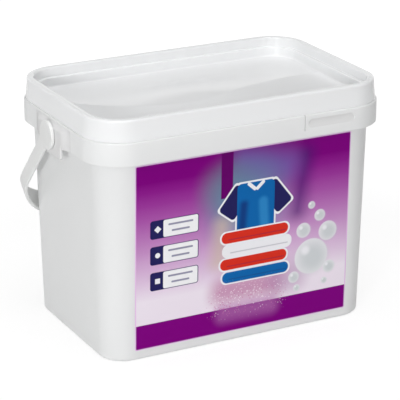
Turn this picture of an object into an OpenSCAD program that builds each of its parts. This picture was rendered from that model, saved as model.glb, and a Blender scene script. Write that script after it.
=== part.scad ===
// Rectangular tub with a press-on lid and a swinging handle, holding single-dose powder sachets.
// X runs along the tub, Y towards its back and Z up. The origin is the centre of the base.

/* [Tub] */
// Outer length of the wall just under the collar
tub_l = 246.8; // [225:0.1:300]
// Outer width of the wall just under the collar
tub_w = 156.2; // [140:0.1:200]
// Height of the wall from the base to the collar
wall_h = 168.3; // [150:0.1:230]
// How far each wall leans outwards between the base and the collar
lean = 4.35; // [2:0.05:6]
// Outer corner radius of the wall just under the collar
corner_r = 26.2; // [22:0.1:32]
// Wall thickness
wall_t = 1.8; // [1.4:0.1:2.4]
// Floor thickness
floor_t = 2.2; // [1.8:0.1:3]
// Rounding between the base and the wall
base_round = 4; // [2:0.5:6]
// Depth of the stiffening channel under the floor
channel_d = 0.8; // [0.4:0.1:1]
// Width of the channel
channel_w = 9; // [5:0.5:12]
// Distance from the channel to the rounding of the base
channel_margin = 3; // [2:0.5:5]

/* [Collar and rim] */
// Height of the collar that stands out round the tub
collar_h = 19; // [17:0.1:24]
// How far the collar stands out from the wall
collar_out = 7.6; // [6.8:0.1:10]
// Thickness of the collar
collar_t = 2.4; // [2:0.1:2.8]
// Rounding of the collar's outer edges
collar_round = 1.2; // [0.6:0.1:1.6]
// How far the rim stands outside the line of the wall
rim_out = 2.7; // [2:0.1:3.2]
// Height of the bead under the rim's top edge
bead_drop = 5; // [3:0.5:7]
// Width of the finger scoop in the collar
scoop_l = 43; // [30:0.5:55]
// Height of the finger scoop
scoop_h = 7.2; // [5:0.1:9]
// Depth of the finger scoop at its top edge
scoop_d = 1.5; // [0.8:0.1:1.7]
// Distance of the finger scoop's middle from the tub's middle
scoop_x = 74; // [40:0.5:75]
// Distance of the finger scoop's top edge below the collar's top
scoop_drop = 3.7; // [3:0.1:6]
// Width of the tear slit beside the scoop
slit_w = 0.6; // [0.4:0.1:1.6]
// Height of the tear slit
slit_h = 13; // [8:0.5:15]
// Distance from the tear slit to the scoop's end
slit_gap = 3; // [2:0.5:6]

/* [Lid] */
// Height of the lid's skirt above the collar
skirt_h = 17.3; // [16:0.1:24]
// How far the lid's top edge stands outside the line of the wall
lid_out = 5; // [4.7:0.1:6]
// How far the skirt flares out towards its lower edge
lid_flare = 1.4; // [0.2:0.1:1.6]
// Thickness of the lid
lid_t = 1.5; // [1.2:0.1:1.6]
// Depth of the recess in the lid's top
recess_d = 16; // [13:0.5:20]
// Depth of the ledge inside the recess
ledge_d = 8; // [6:0.5:9]
// Width of the ledge
ledge_w = 3; // [2:0.5:5]
// Rise of the panel's crown at its middle
crown_h = 5; // [1:0.5:6]
// Clearance between the lid and the tub
lid_fit = 0.3; // [0.2:0.05:0.4]

/* [Handle] */
// Distance of the pivot below the collar's top
pivot_drop = 12.8; // [11:0.1:13.5]
// Radius of the pivot pins
pin_r = 5; // [3.5:0.1:5.5]
// Radial clearance of the pins in the ears
pin_fit = 0.1; // [0.05:0.01:0.1]
// How far the head of each pin stands out round the pin
pin_lip = 1.2; // [0.8:0.1:1.5]
// Radius of the strap's rounded ends
hub_r = 12; // [9:0.5:13]
// Width of the strap's arms
strap_w = 12; // [10:0.5:16]
// Width of the strap at the grip
grip_w = 20; // [16:0.5:26]
// Thickness of the strap
strap_t = 2.8; // [2:0.1:3.2]
// Distance from the pivot to the grip
reach = 131; // [126:0.5:138]
// Radius of the strap's bends
bend_r = 65; // [45:0.5:68]
// Clearance between the resting strap and the back wall
rest_fit = 0.35; // [0.2:0.05:0.6]
// Clearance between the strap and the ears
strap_fit = 0.5; // [0.3:0.1:1]

/* [Ears] */
// How far each ear stands out from the collar
ear_out = 3.4; // [2:0.1:4]
// Thickness of an ear below the collar
ear_t = 2.4; // [2:0.1:3.2]
// Width of an ear
ear_w = 41; // [36:0.5:48]
// How far an ear hangs below the collar
ear_drop = 9.8; // [6:0.1:14]
// Corner radius of an ear
ear_round = 3; // [2:0.5:5]
// Length over which each side of an ear runs out into the collar
ear_run = 13; // [8:0.5:16]
// Height over which the top of an ear runs out into the collar
ear_rise = 4.5; // [3:0.5:4.5]

/* [Label] */
// Distance from the label's sides to the ends of the flat front wall
label_margin = 0.2; // [0:0.1:20]
// Height of the label
label_h = 156.5; // [100:0.5:157]
// Distance of the label's lower edge above the base
label_z = 9; // [8:0.5:20]
// Thickness of the label
label_t = 0.3; // [0.2:0.05:0.4]
// Corner radius of the label
label_round = 1.5; // [1:0.5:5]

/* [Sachets] */
// Number of sachets
sachet_count = 50; // [50:1:50]
// Length of a sachet
sachet_l = 54; // [48:0.5:55]
// Width of a sachet
sachet_w = 43; // [38:0.5:44]
// Thickness of a filled sachet
sachet_h = 26; // [20:0.5:28]
// Width of the sealed seam round a sachet
seam_w = 4; // [3:0.5:5]
// Thickness of the sealed seam
seam_t = 0.8; // [0.5:0.1:1.2]
// Corner radius of the sealed seam
seam_round = 6; // [4:0.5:8]
// Smallest gap between neighbouring sachets
sachet_gap = 2; // [1.8:0.1:3]
// Clearance between the outer sachets and the tub's wall
pile_fit = 1.2; // [1:0.1:2]
// Gap between the layers of sachets
layer_gap = 0.2; // [0.1:0.05:0.4]
// Largest turn of a sachet in its layer
sachet_turn = 1.2; // [0:0.1:1.4]

/* [Hidden] */
$fn = 96;
arc_steps = 6;
overlap = 0.2;
// The straight part of every outline: corners of any radius turn about its four corner points
core_l = tub_l - 2 * corner_r;
core_w = tub_w - 2 * corner_r;
lean_angle = atan(lean / wall_h);
// Levels
collar_top = wall_h + collar_h;
lid_foot = collar_top + lid_fit;
lid_top = lid_foot + skirt_h;
rim_top = lid_top - lid_t - lid_fit;
// The wall stays straight behind the label, however tall the label is
flare_foot = max(wall_h + collar_h / 2, (label_z + label_h) * cos(lean_angle) + label_t);
shelf_z = collar_top - collar_t;
panel_z = lid_top - recess_d;
ledge_z = lid_top - ledge_d;
pivot_z = collar_top - pivot_drop;
// Distances of the surfaces from the core's outline
collar_r = corner_r + collar_out;
rim_r = corner_r + rim_out;
bead_r = 0.5;
lid_r = corner_r + lid_out;
plug_r = rim_r - wall_t - lid_fit;
recess_r = plug_r - lid_t;
well_r = recess_r - ledge_w;
// Ends and ears
ear_x = core_l / 2 + collar_r + ear_out;
bail_x = ear_x + strap_fit + strap_t / 2;
arm_l = reach - bend_r;
skirt_x = core_l / 2 + collar_r - collar_t;
turn_x = bail_x - bend_r;
head_t = 1.6;
head_fit = 0.3;
// Shares of the bend's drop at which the strap starts to widen and is as wide as the grip
grip_start = 0.1;
grip_full = 0.75;
// The handle leans back from the upright until the first point of its lower edge meets the wall
touch_r = corner_r - lean * (1 - (pivot_z - reach * sqrt(0.5)) / wall_h);
touch_reach = min(bend_r * grip_full, core_l / 2 + touch_r - turn_x);
touch_steps = 40;
hang_angle = max([
    for (i = [0:touch_steps]) meeting_angle(turn_x + touch_reach * i / touch_steps)
]);
// Panel grid of the lid's crown
crown_nx = 20;
crown_ny = 12;
// Sachet layout
floor_r = corner_r - lean - wall_t;
corner_inset = max(0, floor_r - seam_round) * (1 - sqrt(0.5));
bay_l = core_l + 2 * (floor_r - corner_inset - pile_fit);
bay_w = core_w + 2 * (floor_r - corner_inset - pile_fit);
columns = floor((bay_l + sachet_gap) / (sachet_l + sachet_gap));
rows = floor((bay_w + sachet_gap) / (sachet_w + sachet_gap));
per_layer = columns * rows;
// The sachets of a layer spread evenly over the floor
column_pitch = columns > 1 ? (bay_l - sachet_l) / (columns - 1) : 0;
row_pitch = rows > 1 ? (bay_w - sachet_w) / (rows - 1) : 0;
// How far the crown of a sachet's fill would stand above its flattened top
fill_cut = 3;
// Step of the turn from one sachet to the next, in degrees of its wave
turn_step = 137;

function sachet_name(i) = str("sachet_", i < 10 ? "0" : "", i);
// Outer surface of the wall at a height, measured from the core
function wall_r(z) = corner_r - lean * (1 - z / wall_h);
// Distance of the strap's inner face from the pivot axis, at x along the bend
function strap_reach(x) = arm_l + sqrt(pow(bend_r - strap_t / 2, 2) - pow(x - turn_x, 2));
// Distance of the back wall's outer face from the middle plane, at x and at the grip's height
function back_wall(x) =
    core_w / 2 + sqrt(max(0, pow(touch_r, 2) - pow(max(0, x - core_l / 2), 2)));
// Angle from the upright at which the lower edge of the strap meets the back wall at x
function meeting_angle(x) = let (s = strap_reach(x), half = grip_w / 2)
    atan2(half, s) + asin((back_wall(x) + rest_fit) / norm([s, half]));
// Points along an arc about c, from angle a to angle b
function arc(c, r, a, b) =
    [for (i = [0:arc_steps]) let (t = a + (b - a) * i / arc_steps) c + r * [cos(t), sin(t)]];
// Radius of a fill's bulge over a width b, cut flat at the sachet's thickness
function bulge_r(b) = let (s = sachet_h / 2 + fill_cut) (b * b / 4 + s * s) / (2 * s);

// Carries a section round the core: a quarter turn at each corner and a straight run between them.
// In the section, x is the distance from the core and y is the height.
module around_core() {
    corners = [[1, 1, 0], [-1, 1, 90], [-1, -1, 180], [1, -1, 270]];
    for (c = corners)
        translate([c[0] * core_l / 2, c[1] * core_w / 2, 0])
            rotate(c[2]) rotate_extrude(angle = 90) children();
    for (turn = [0, 180])
        rotate(turn) translate([core_l / 2, 0, 0])
            rotate([90, 0, 0]) linear_extrude(core_w, center = true) children();
    for (turn = [90, 270])
        rotate(turn) translate([core_w / 2, 0, 0])
            rotate([90, 0, 0]) linear_extrude(core_l, center = true) children();
}

// Wall, floor and rim of the tub, with the collar's shelf and skirt
module tub_section() {
    channel_out = wall_r(0) - base_round - channel_margin;
    channel_in = channel_out - channel_w;
    inner_round = base_round - wall_t / 2;
    outer = concat(
        [[0, 0], [channel_in, 0], [channel_in + channel_d, channel_d]],
        [[channel_out - channel_d, channel_d], [channel_out, 0]],
        arc([wall_r(0) - base_round, base_round], base_round, -90, 0),
        [[wall_r(flare_foot), flare_foot], [rim_r, shelf_z]],
        [[collar_r - collar_t, shelf_z], [collar_r - collar_t, wall_h]],
        [[collar_r, wall_h]],
        arc([collar_r - collar_round, collar_top - collar_round], collar_round, 0, 90),
        [[rim_r, collar_top]],
        arc([rim_r, rim_top - bead_drop], bead_r, -90, 90),
        arc([rim_r - wall_t / 2, rim_top - wall_t / 2], wall_t / 2, 0, 180)
    );
    inner = concat(
        [[rim_r - wall_t, shelf_z], [wall_r(flare_foot) - wall_t, flare_foot]],
        arc([wall_r(floor_t) - wall_t - inner_round, floor_t + inner_round], inner_round, 0, -90),
        [[0, floor_t]]
    );
    polygon(concat(outer, inner));
}

// Skirt, channel over the rim, ledge and well of the lid
module lid_section() {
    top_round = 1.8;
    well_round = 2;
    foot_r = lid_r + lid_flare;
    top = concat(
        [[foot_r, lid_foot]],
        arc([lid_r - top_round, lid_top - top_round], top_round, 0, 90),
        arc([recess_r + lid_t, lid_top - lid_t], lid_t, 90, 180),
        [[recess_r, ledge_z], [well_r, ledge_z]],
        arc([well_r - well_round, panel_z + well_round], well_round, 0, -90),
        [[0, panel_z]]
    );
    under = [
        [0, panel_z - lid_t], [well_r - lid_t / 2, panel_z - lid_t],
        [well_r + lid_t, panel_z], [well_r + lid_t, ledge_z - lid_t],
        [plug_r, ledge_z - lid_t], [plug_r, lid_top - lid_t],
        [lid_r - lid_t, lid_top - lid_t], [foot_r - lid_t, lid_foot]
    ];
    polygon(concat(top, under));
}

// Crowned middle of the lid's panel, which rises smoothly from level edges
module crowned_panel() {
    nx = crown_nx;
    ny = crown_ny;
    row = nx + 1;
    layer = row * (ny + 1);
    function swell(i, n) = pow(sin(180 * i / n), 2);
    points = [
        for (base = [panel_z - lid_t, panel_z], j = [0:ny], i = [0:nx])
            [core_l * (i / nx - 0.5), core_w * (j / ny - 0.5), base + crown_h * swell(i, nx) * swell(j, ny)]
    ];
    top = [
        for (j = [0:ny - 1], i = [0:nx - 1]) let (a = layer + j * row + i)
            each [[a, a + row + 1, a + 1], [a, a + row, a + row + 1]]
    ];
    bottom = [
        for (j = [0:ny - 1], i = [0:nx - 1]) let (a = j * row + i)
            each [[a, a + 1, a + row + 1], [a, a + row + 1, a + row]]
    ];
    long_edges = [
        for (i = [0:nx - 1]) let (a = i, b = ny * row + i)
            each [[a, a + layer, a + layer + 1, a + 1], [b, b + 1, b + layer + 1, b + layer]]
    ];
    short_edges = [
        for (j = [0:ny - 1]) let (a = j * row, b = j * row + nx)
            each [[a, a + row, a + row + layer, a + layer], [b, b + layer, b + row + layer, b + row]]
    ];
    polyhedron(points, concat(top, bottom, long_edges, short_edges));
}

// Outline of the part of an ear that hangs below the collar, in Y and Z
module ear_outline() {
    foot = wall_h - ear_drop;
    half = ear_w / 2;
    polygon(concat(
        arc([half - ear_round, foot + ear_round], ear_round, -90, 0),
        [[half, wall_h + overlap], [-half, wall_h + overlap]],
        arc([-half + ear_round, foot + ear_round], ear_round, 180, 270)
    ));
}

// Swelling of the collar above an ear: its sides and its top slope down to the collar's face
module ear_swelling() {
    half = ear_w / 2;
    face = core_l / 2 + collar_r;
    inside = face - collar_t / 2;
    top = collar_top - collar_round - overlap;
    intersection() {
        linear_extrude(collar_top) polygon([
            [inside, -half - ear_run], [face, -half - ear_run], [ear_x, -half],
            [ear_x, half], [face, half + ear_run], [inside, half + ear_run]
        ]);
        rotate([90, 0, 0]) linear_extrude(core_w, center = true) polygon([
            [inside, wall_h], [ear_x, wall_h], [ear_x, top - ear_rise], [face, top], [inside, top]
        ]);
    }
}

module ear() {
    ear_swelling();
    translate([ear_x - ear_t / 2, 0, 0])
        rotate([90, 0, 90]) linear_extrude(ear_t, center = true) ear_outline();
}

// Scoop for a fingertip: deepest under its top edge, running out at its lower edge
module finger_scoop() {
    half = scoop_h / 2;
    slope = atan(scoop_d / scoop_h);
    face = -core_w / 2 - collar_r;
    translate([scoop_x, face, collar_top - scoop_drop - scoop_h])
        rotate([90 - slope, 0, 0]) linear_extrude(2 * collar_t) {
            translate([-scoop_l / 2 + half, 0]) square([scoop_l - 2 * half, scoop_h / cos(slope)]);
            for (side = [-1, 1])
                translate([side * (scoop_l / 2 - half), half]) circle(half);
        }
}

// Slit beside the scoop, cut through the collar from its top edge
module tear_slit() {
    translate([
        scoop_x - scoop_l / 2 - slit_gap - slit_w,
        -core_w / 2 - collar_r - overlap,
        collar_top - slit_h
    ])
        cube([slit_w, collar_t + 2 * overlap, slit_h + overlap]);
}

module tub() {
    color("ghostwhite") difference() {
        union() {
            around_core() tub_section();
            translate([-core_l / 2, -core_w / 2, 0]) cube([core_l, core_w, floor_t]);
            for (turn = [0, 180])
                rotate(turn) ear();
        }
        for (side = [-1, 1])
            translate([side * (ear_x + skirt_x) / 2, 0, pivot_z]) rotate([0, 90, 0])
                cylinder(r = pin_r + pin_fit, h = ear_x - skirt_x + 2 * overlap, center = true);
        finger_scoop();
        tear_slit();
    }
}

module lid() {
    color("white") {
        around_core() lid_section();
        crowned_panel();
    }
}

// Side view of the handle hanging straight down: round hubs, narrow arms and a wider grip
module strap_outline() {
    arm = strap_w / 2;
    grip = grip_w / 2;
    widen_from = arm_l + bend_r * grip_start;
    widen_to = arm_l + bend_r * grip_full;
    circle(hub_r);
    polygon([
        [-arm, 0], [-arm, -widen_from], [-grip, -widen_to], [-grip, -reach - strap_t],
        [grip, -reach - strap_t], [grip, -widen_to], [arm, -widen_from], [arm, 0]
    ]);
}

// Strap of even thickness bent to a U, as wide as the grip all along
module strap_band() {
    band_w = grip_w + 2 * overlap;
    for (side = [-1, 1]) {
        translate([side * bail_x - strap_t / 2, -band_w / 2, -arm_l])
            cube([strap_t, band_w, arm_l + hub_r + overlap]);
        translate([side * turn_x, 0, -arm_l]) rotate([90, 0, 0]) rotate(side > 0 ? -90 : 180)
            rotate_extrude(angle = 90)
                translate([bend_r - strap_t / 2, -band_w / 2]) square([strap_t, band_w]);
    }
    translate([-turn_x, -band_w / 2, -reach - strap_t / 2]) cube([2 * turn_x, band_w, strap_t]);
}

// Pin with a snap head, from the strap through the ear
module pivot_pin() {
    root = bail_x - strap_t / 2 + overlap;
    tip = skirt_x - head_fit;
    translate([tip - head_t, 0, 0]) rotate([0, 90, 0]) {
        cylinder(r = pin_r, h = root - tip + head_t);
        cylinder(r1 = pin_r, r2 = pin_r + pin_lip, h = head_t);
    }
}

module bail_handle() {
    color("snow") translate([0, 0, pivot_z]) rotate([hang_angle, 0, 0]) {
        intersection() {
            strap_band();
            rotate([90, 0, 90]) linear_extrude(2 * (bail_x + strap_t), center = true) strap_outline();
        }
        pivot_pin();
        mirror([1, 0, 0]) pivot_pin();
    }
}

// Printed film that lies on the leaning front wall
module front_label() {
    label_l = core_l - 2 * label_margin;
    r = label_round;
    color("mediumorchid") translate([0, -core_w / 2 - wall_r(0), 0])
        rotate([90 + lean_angle, 0, 0]) translate([-label_l / 2, label_z, 0])
            linear_extrude(label_t) {
                translate([r, 0]) square([label_l - 2 * r, label_h]);
                translate([0, r]) square([label_l, label_h - 2 * r]);
                for (x = [r, label_l - r], y = [r, label_h - r])
                    translate([x, y]) circle(r);
            }
}

// Lens outline of a fill, b wide, flattened to the sachet's thickness
module fill_lens(b) {
    r = bulge_r(b);
    sink = r - sachet_h / 2 - fill_cut;
    intersection() {
        translate([0, -sink]) circle(r);
        translate([0, sink]) circle(r);
        square([b, sachet_h], center = true);
    }
}

// Filled pouch lying level, with a sealed seam all round at half its thickness
module sachet_shape() {
    fill_l = sachet_l - 2 * seam_w;
    fill_w = sachet_w - 2 * seam_w;
    intersection() {
        rotate([90, 0, 0]) linear_extrude(fill_w, center = true) fill_lens(fill_l);
        rotate([90, 0, 90]) linear_extrude(fill_l, center = true) fill_lens(fill_w);
    }
    translate([0, 0, -seam_t / 2]) linear_extrude(seam_t) {
        square([sachet_l - 2 * seam_round, sachet_w], center = true);
        square([sachet_l, sachet_w - 2 * seam_round], center = true);
        for (x = [-1, 1], y = [-1, 1])
            translate([x * (sachet_l / 2 - seam_round), y * (sachet_w / 2 - seam_round)])
                circle(seam_round);
    }
}

// Sachet i of the pile; each layer fills from the middle of the tub
module sachet(i) {
    n = i - 1;
    layer = floor(n / per_layer);
    cell = (n + floor(per_layer / 2)) % per_layer;
    column = floor(cell / rows);
    row = cell % rows;
    color("lavender") translate([
        (column - (columns - 1) / 2) * column_pitch,
        (row - (rows - 1) / 2) * row_pitch,
        floor_t + layer_gap + sachet_h / 2 + layer * (sachet_h + layer_gap)
    ])
        rotate(sachet_turn * sin(turn_step * n)) sachet_shape();
}

tub();
lid();
bail_handle();
front_label();
for (i = [1:sachet_count])
    sachet(i);
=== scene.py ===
"""Looks of a rectangular lidded tub of laundry powder sachets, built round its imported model.

Lengths are in millimetres up to the point where a mesh is written, which is in metres.
"""
import logging
import math
from dataclasses import dataclass, field
from enum import Enum
from typing import Any, Iterable, Sequence

import bmesh
import bpy
from mathutils import Matrix, Vector


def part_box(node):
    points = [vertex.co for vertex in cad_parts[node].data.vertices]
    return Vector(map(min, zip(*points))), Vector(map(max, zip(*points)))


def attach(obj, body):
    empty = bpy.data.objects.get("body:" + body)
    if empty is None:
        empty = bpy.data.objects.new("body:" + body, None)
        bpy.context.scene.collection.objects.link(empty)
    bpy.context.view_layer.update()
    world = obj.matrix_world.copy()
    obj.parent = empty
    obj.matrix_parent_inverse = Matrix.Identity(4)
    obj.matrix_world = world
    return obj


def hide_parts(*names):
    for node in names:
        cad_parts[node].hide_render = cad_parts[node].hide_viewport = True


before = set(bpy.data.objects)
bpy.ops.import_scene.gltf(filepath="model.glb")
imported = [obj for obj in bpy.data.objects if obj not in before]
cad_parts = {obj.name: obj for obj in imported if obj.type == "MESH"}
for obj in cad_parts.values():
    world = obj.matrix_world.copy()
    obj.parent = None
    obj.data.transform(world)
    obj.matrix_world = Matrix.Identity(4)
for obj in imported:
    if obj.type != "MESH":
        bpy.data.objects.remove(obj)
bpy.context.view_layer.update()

MM = 0.001
LOG = logging.getLogger("lidded_tub")

Point2 = tuple[float, float]
Point3 = tuple[float, float, float]
Colour = tuple[float, float, float]
Feeds = dict[str | int, Any]


class Body(Enum):
    """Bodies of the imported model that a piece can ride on."""

    TUB = "tub"
    LID = "lid"
    HANDLE = "handle"


class Blend(Enum):
    """Ways to combine two closed objects."""

    JOIN = "UNION"
    CUT = "DIFFERENCE"


class Slot(Enum):
    """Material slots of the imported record."""

    TUB = "tub_plastic"
    LID = "lid_plastic"
    HANDLE = "handle_plastic"
    LABEL = "label_film"
    SACHET = "sachet_film"


def ink(red: int, green: int, blue: int) -> Colour:
    """Turns a display colour of 0 to 255 into linear values.

    Args:
        red: Red share, 0 to 255.
        green: Green share, 0 to 255.
        blue: Blue share, 0 to 255.

    Returns:
        The same colour as a shader takes it.
    """
    def linear(value: float) -> float:
        """Undoes the display curve for one channel."""
        return value / 12.92 if value <= 0.04045 else ((value + 0.055) / 1.055) ** 2.4

    return tuple(linear(channel / 255) for channel in (red, green, blue))


def between(first: Sequence[float], last: Sequence[float], share: float) -> tuple[float, ...]:
    """Returns the point or colour that lies at a share of the way from first to last."""
    return tuple(a + (b - a) * share for a, b in zip(first, last))


def arc(centre: Point2, radius: float, start: float, end: float, steps: int = 6) -> list[Point2]:
    """Lists points along a circular arc.

    Args:
        centre: Centre of the arc.
        radius: Radius of the arc.
        start: First angle in degrees.
        end: Last angle in degrees.
        steps: Number of chords.

    Returns:
        The points from start to end, both included.
    """
    turns = [math.radians(start + (end - start) * i / steps) for i in range(steps + 1)]
    return [(centre[0] + radius * math.cos(t), centre[1] + radius * math.sin(t)) for t in turns]


def stadium(length: float, height: float) -> list[Point2]:
    """Outlines a slot with round ends that stands on y = 0 and is centred on x = 0."""
    half = height / 2
    reach = length / 2 - half
    return arc((reach, half), half, -90, 90, 12) + arc((-reach, half), half, 90, 270, 12)


def ease(share: float) -> float:
    """Smooth step from 0 to 1."""
    return share * share * (3 - 2 * share)


def inset(outline: Sequence[Point2], distance: float) -> list[Point2]:
    """Moves every corner of a closed, anticlockwise outline inwards.

    Args:
        outline: Corners of the outline.
        distance: How far each edge moves in.

    Returns:
        As many corners, in the same order.
    """
    moved = []
    count = len(outline)
    for i, (x, y) in enumerate(outline):
        before = Vector((x, y)) - Vector(outline[i - 1])
        after = Vector(outline[(i + 1) % count]) - Vector((x, y))
        normals = [Vector((-edge.y, edge.x)).normalized() for edge in (before, after)]
        middle = (normals[0] + normals[1]).normalized()
        stretch = max(0.5, middle.dot(normals[0]))
        moved.append((x + middle.x * distance / stretch, y + middle.y * distance / stretch))
    return moved


def make_mesh(name: str, points: Iterable[Point3], faces: Iterable[Sequence[int]] = (),
              edges: Iterable[Sequence[int]] = ()) -> bpy.types.Mesh:
    """Makes a mesh in metres from points in millimetres.

    Args:
        name: Name of the mesh.
        points: Corner points in millimetres.
        faces: Corner numbers of each face.
        edges: Corner numbers of each loose edge.

    Returns:
        The new mesh.
    """
    mesh = bpy.data.meshes.new(name)
    mesh.from_pydata([tuple(v * MM for v in point) for point in points], list(edges), list(faces))
    mesh.update()
    return mesh


def make_object(name: str, mesh: bpy.types.Mesh) -> bpy.types.Object:
    """Puts a mesh into the scene as an object at the origin."""
    item = bpy.data.objects.new(name, mesh)
    bpy.context.scene.collection.objects.link(item)
    return item


def bake_modifiers(item: bpy.types.Object) -> None:
    """Replaces an object's mesh by its evaluated one and removes its modifiers."""
    graph = bpy.context.evaluated_depsgraph_get()
    mesh = bpy.data.meshes.new_from_object(
        item.evaluated_get(graph), preserve_all_data_layers=True, depsgraph=graph)
    item.modifiers.clear()
    old = item.data
    item.data = mesh
    bpy.data.meshes.remove(old)


def tidy_shell(item: bpy.types.Object, merge: float = 0.001, crease: float = 32.0) -> None:
    """Merges doubles, turns every face outwards and shades the shell smooth up to an angle.

    Args:
        item: The object with a closed mesh.
        merge: Distance in millimetres under which corners become one.
        crease: Angle in degrees above which an edge stays sharp.
    """
    work = bmesh.new()
    work.from_mesh(item.data)
    bmesh.ops.remove_doubles(work, verts=work.verts, dist=merge * MM)
    bmesh.ops.dissolve_degenerate(work, edges=work.edges, dist=merge * MM)
    bmesh.ops.recalc_face_normals(work, faces=work.faces)
    work.to_mesh(item.data)
    work.free()
    item.data.shade_smooth()
    item.data.set_sharp_from_angle(angle=math.radians(crease))
    item.data.update()


def loft(name: str, rings: Sequence[Sequence[Point3]]) -> bpy.types.Object:
    """Skins a row of closed rings that have as many points each, and caps both ends.

    Args:
        name: Name of the object.
        rings: The rings in order, in millimetres.

    Returns:
        The closed object.
    """
    size = len(rings[0])
    points = [point for ring in rings for point in ring]
    faces = [
        (row * size + i, row * size + (i + 1) % size,
         (row + 1) * size + (i + 1) % size, (row + 1) * size + i)
        for row in range(len(rings) - 1) for i in range(size)
    ]
    last = (len(rings) - 1) * size
    faces += [tuple(reversed(range(size))), tuple(range(last, last + size))]
    return make_object(name, make_mesh(name, points, faces))


def rounded_prism(name: str, outline: Sequence[Point2], depth: float, edge: float,
                  place: Matrix) -> bpy.types.Object:
    """Extrudes an outline with rounded edges at both ends.

    Args:
        name: Name of the object.
        outline: Closed outline, anticlockwise, in the local XY plane.
        depth: Length of the extrusion along local Z.
        edge: Radius of the rounding at both ends; 0 leaves them sharp.
        place: Matrix in millimetres that puts the prism in its place.

    Returns:
        The closed object.
    """
    levels = [(edge - y, edge + x) for x, y in arc((0, 0), edge, 180, 90, 4)] if edge else [(0, 0)]
    levels += [(step, depth - level) for step, level in reversed(levels)]
    rings = [[tuple(place @ Vector((x, y, level))) for x, y in inset(outline, step)]
             for step, level in levels]
    return loft(name, rings)


def lathe_x(name: str, profile: Sequence[Point2], side: int, height: float,
            steps: int = 48) -> bpy.types.Object:
    """Turns a profile about a line that runs along X.

    Args:
        name: Name of the object.
        profile: Points as distance along X and radius; every radius is above zero.
        side: 1 for the right end, -1 for the left.
        height: Height of the axis.
        steps: Number of facets round the axis.

    Returns:
        The closed object.
    """
    turns = [2 * math.pi * i / steps for i in range(steps)]
    rings = [[(side * x, radius * math.cos(t), height + radius * math.sin(t)) for t in turns]
             for x, radius in profile]
    return loft(name, rings)


def combine(target: bpy.types.Object, tool: bpy.types.Object, blend: Blend) -> None:
    """Applies a boolean of two closed objects to the first and deletes the second.

    Args:
        target: Object that is changed.
        tool: Object that is joined or cut away.
        blend: Whether the tool is joined or cut away.
    """
    tidy_shell(tool)
    modifier = target.modifiers.new("combine", "BOOLEAN")
    modifier.operation = blend.value
    modifier.object = tool
    modifier.solver = "EXACT"
    bake_modifiers(target)
    bpy.data.objects.remove(tool)


class NodeSheet:
    """Adds nodes to one node tree and joins them."""

    def __init__(self, tree: bpy.types.NodeTree) -> None:
        """Keeps the tree that the nodes go into."""
        self.tree = tree

    def add(self, kind: str, feeds: Feeds | None = None, **settings: Any) -> bpy.types.Node:
        """Adds a node, sets it up and feeds its inputs.

        Args:
            kind: Blender's name of the node type.
            feeds: A socket or a constant for each input, by name or number.
            **settings: Properties of the node.

        Returns:
            The new node.
        """
        node = self.tree.nodes.new(kind)
        for name, value in settings.items():
            setattr(node, name, value)
        for key, value in (feeds or {}).items():
            if isinstance(value, bpy.types.NodeSocket):
                self.tree.links.new(value, node.inputs[key])
            elif isinstance(value, tuple) and node.inputs[key].type == "RGBA":
                node.inputs[key].default_value = (*value, 1.0)
            else:
                node.inputs[key].default_value = value
        return node

    def group(self, inner: bpy.types.NodeTree, feeds: Feeds) -> bpy.types.Node:
        """Places a shader node group and feeds its inputs by name."""
        return self.add("ShaderNodeGroup", feeds, node_tree=inner)

    def math(self, operation: str, *terms: Any, clamp: bool = False) -> bpy.types.NodeSocket:
        """Adds a number operation and returns its result."""
        node = self.add("ShaderNodeMath", dict(enumerate(terms)), operation=operation)
        node.use_clamp = clamp
        return node.outputs[0]

    def vector(self, operation: str, *terms: Any) -> bpy.types.NodeSocket:
        """Adds a vector operation and returns its vector."""
        return self.add("ShaderNodeVectorMath", dict(enumerate(terms)), operation=operation).outputs[0]

    def mix(self, share: Any, first: Any, second: Any) -> bpy.types.NodeSocket:
        """Mixes two colours and returns the result."""
        node = self.add("ShaderNodeMix", {0: share, 6: first, 7: second}, data_type="RGBA")
        return node.outputs[2]

    def mix_value(self, share: Any, first: Any, second: Any) -> bpy.types.NodeSocket:
        """Blends two numbers and returns the result; a share of 0 gives the first."""
        return self.math("ADD", self.math("MULTIPLY", first, self.math("SUBTRACT", 1.0, share)),
                         self.math("MULTIPLY", second, share))

    def ramp(self, value: Any, low: Any, high: Any, first: float, last: float) -> bpy.types.NodeSocket:
        """Maps a number smoothly from one range to another and returns it."""
        node = self.add("ShaderNodeMapRange", {0: value, 1: low, 2: high, 3: first, 4: last},
                        interpolation_type="SMOOTHSTEP")
        return node.outputs[0]


def new_group(name: str, kind: str, inputs: Sequence[tuple[str, str, Any]],
              outputs: Sequence[tuple[str, str]]) -> tuple[bpy.types.NodeTree, NodeSheet, Any, Any]:
    """Starts a node group with named sockets.

    Args:
        name: Name of the group.
        kind: ShaderNodeTree or GeometryNodeTree.
        inputs: Name, socket type and default value of each input; None leaves the default.
        outputs: Name and socket type of each output.

    Returns:
        The group, a sheet to add nodes with, the outputs of its input node and its output node.
    """
    tree = bpy.data.node_groups.new(name, kind)
    for label, socket_type, value in inputs:
        socket = tree.interface.new_socket(label, in_out="INPUT", socket_type=socket_type)
        if value is not None:
            socket.default_value = value
    for label, socket_type in outputs:
        tree.interface.new_socket(label, in_out="OUTPUT", socket_type=socket_type)
    given = tree.nodes.new("NodeGroupInput")
    result = tree.nodes.new("NodeGroupOutput")
    return tree, NodeSheet(tree), given.outputs, result


FLOAT = "NodeSocketFloat"
VECTOR = "NodeSocketVector"
COLOUR = "NodeSocketColor"
WHOLE = "NodeSocketInt"
GEOMETRY = "NodeSocketGeometry"
MATERIAL = "NodeSocketMaterial"


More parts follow.
